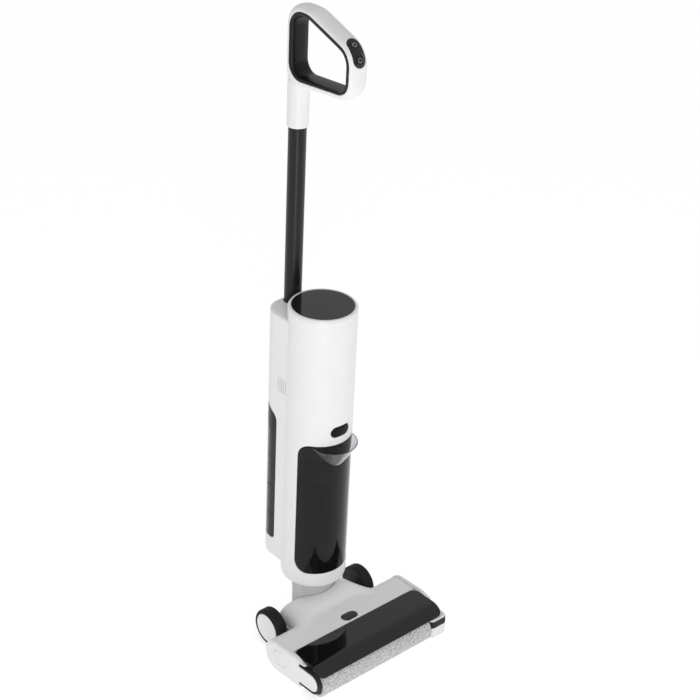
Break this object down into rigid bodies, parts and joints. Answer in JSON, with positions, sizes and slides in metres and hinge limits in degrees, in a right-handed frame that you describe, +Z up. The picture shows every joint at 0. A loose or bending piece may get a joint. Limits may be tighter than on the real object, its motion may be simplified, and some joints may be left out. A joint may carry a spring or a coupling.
{
  "type": "wet dry floor scrubber",
  "caption": "Upright cordless wet and dry floor washer: looped handle, round body with removable tanks, tilting neck and wheeled head with a fleece roller.",
  "frame": {"origin": "on the floor, below the middle of the machine's bounding box", "axes": "+Z up, -Y towards the roller at the front, X along the roller and the wheel axle"},
  "size_m": [0.29, 0.2792, 1.0962],
  "materials": {
    "white_plastic": "satin",
    "black_gloss": "gloss",
    "black_satin": "satin",
    "grey_plastic": "satin",
    "smoked_tank": "gloss",
    "rubber": "matte",
    "tyre": "matte",
    "fleece": "pile",
    "filter_cloth": "pleated",
    "tube_metal": "satin black anodised",
    "steel": "brushed",
    "brass": "polished",
    "board": "solder mask",
    "cell_wrap": "shrink wrap"
  },
  "bodies": {
    "head": {"head_base": "white_plastic", "head_top": "white_plastic", "right_end_cap": "white_plastic", "right_bumper": "rubber", "drive_belt": "black_satin", "roller_motor": "steel", "scraper": "rubber", "squeegee": "rubber", "spray_bar": "grey_plastic", "suction_duct": "grey_plastic", "axles": "steel", "charging_contacts": "brass", "head_screws": "steel"},
    "cover": {"roller_cover": "black_gloss"},
    "cover_key": {"cover_button": "black_gloss", "button_spring": "steel"},
    "end_cap": {"left_end_cap": "white_plastic", "left_bumper": "rubber", "roller_pin": "steel"},
    "cap_key": {"cap_button": "white_plastic"},
    "roller": {"roller_core": "white_plastic", "roller_sleeve": "fleece"},
    "drive": {"drive_pulley": "black_satin"},
    "motor_shaft": {"motor_pulley": "steel"},
    "left_wheel": {"left_tyre": "tyre", "left_hub": "white_plastic"},
    "right_wheel": {"right_tyre": "tyre", "right_hub": "white_plastic"},
    "neck": {"neck": "grey_plastic", "swivel_ring": "black_satin", "neck_hose": "black_satin"},
    "upright": {"front_shell": "white_plastic", "rear_shell": "white_plastic", "inner_frame": "black_satin", "lid_lens": "black_gloss", "display_board": "board", "battery_cells": "cell_wrap", "suction_motor": "steel", "fan_housing": "black_satin", "main_board": "board", "exhaust_filters": "filter_cloth", "water_pump": "black_satin", "water_line": "grey_plastic", "tube_socket": "black_satin", "tube": "tube_metal", "handle_shell": "white_plastic", "handle_grip": "black_satin", "handle_panel": "black_gloss"},
    "fan": {"fan_impeller": "steel"},
    "tank_key": {"tank_button": "black_gloss"},
    "dirty": {"dirty_tank": "smoked_tank", "dirty_tank_lid": "black_satin", "tank_spout": "smoked_tank", "standpipe": "black_satin", "tank_filter": "filter_cloth"},
    "float": {"tank_float": "grey_plastic"},
    "clean": {"clean_tank": "smoked_tank", "clean_tank_cap": "black_satin"},
    "power_key": {"power_button": "black_gloss"},
    "mode_key": {"mode_button": "black_gloss"}
  },
  "joints": [
    {"name": "cover_lift", "type": "slide", "parent": "head", "child": "cover", "axis": [0, 0, 1], "range_m": [0, 0.06]},
    {"name": "cover_press", "type": "slide", "parent": "head", "child": "cover_key", "axis": [0, 0, -1], "range_m": [0, 0.0025], "stiffness_N_per_m": 400, "springref_m": -0.001, "deforming": ["button_spring"]},
    {"name": "roller_pull", "type": "slide", "parent": "head", "child": "end_cap", "axis": [-1, 0, 0], "range_m": [0, 0.26]},
    {"name": "cap_press", "type": "slide", "parent": "end_cap", "child": "cap_key", "axis": [1, 0, 0], "range_m": [0, 0.002], "stiffness_N_per_m": 400, "springref_m": -0.001},
    {"name": "roller_spin", "type": "hinge", "parent": "end_cap", "child": "roller", "pos_m": [0, -0.11613, 0.0235], "axis": [1, 0, 0], "continuous": true},
    {"name": "drive_spin", "type": "hinge", "parent": "head", "child": "drive", "pos_m": [0.118, -0.11613, 0.0235], "axis": [1, 0, 0], "continuous": true},
    {"name": "motor_spin", "type": "hinge", "parent": "head", "child": "motor_shaft", "pos_m": [0.118, -0.06313, 0.03], "axis": [1, 0, 0], "continuous": true},
    {"name": "left_wheel_spin", "type": "hinge", "parent": "head", "child": "left_wheel", "pos_m": [-0.099, 0.04387, 0.033], "axis": [1, 0, 0], "continuous": true},
    {"name": "right_wheel_spin", "type": "hinge", "parent": "head", "child": "right_wheel", "pos_m": [0.099, 0.04387, 0.033], "axis": [1, 0, 0], "continuous": true},
    {"name": "recline", "type": "hinge", "parent": "head", "child": "neck", "pos_m": [0, 0.04387, 0.033], "axis": [-1, 0, 0], "range_deg": [0, 55]},
    {"name": "swivel", "type": "hinge", "parent": "neck", "child": "upright", "pos_m": [0, 0.04987, 0.1044], "axis": [0, -0.0645, 0.9979], "range_deg": [-45, 45]},
    {"name": "fan_spin", "type": "hinge", "parent": "upright", "child": "fan", "pos_m": [0, 0.02728, 0.45367], "axis": [0, -0.0645, 0.9979], "continuous": true},
    {"name": "tank_release", "type": "slide", "parent": "upright", "child": "tank_key", "axis": [0, 0.9979, 0.0645], "range_m": [0, 0.003], "stiffness_N_per_m": 400, "springref_m": -0.001},
    {"name": "dirty_tank_pull", "type": "slide", "parent": "upright", "child": "dirty", "axis": [0, -0.9979, -0.0645], "range_m": [0, 0.12]},
    {"name": "float_rise", "type": "slide", "parent": "dirty", "child": "float", "axis": [0, -0.0645, 0.9979], "range_m": [0, 0.012]},
    {"name": "clean_tank_pull", "type": "slide", "parent": "upright", "child": "clean", "axis": [0, 0.9979, 0.0645], "range_m": [0, 0.09]},
    {"name": "power_press", "type": "slide", "parent": "upright", "child": "power_key", "axis": [0, 0.6909, -0.723], "range_m": [0, 0.0012], "stiffness_N_per_m": 400, "springref_m": -0.001},
    {"name": "mode_press", "type": "slide", "parent": "upright", "child": "mode_key", "axis": [0, 0.9622, -0.2723], "range_m": [0, 0.0012], "stiffness_N_per_m": 400, "springref_m": -0.001}
  ],
  "couplings": [
    {"joint": "drive_spin", "follows": "roller_spin", "ratio": 1},
    {"joint": "motor_spin", "follows": "roller_spin", "ratio": 2}
  ]
}
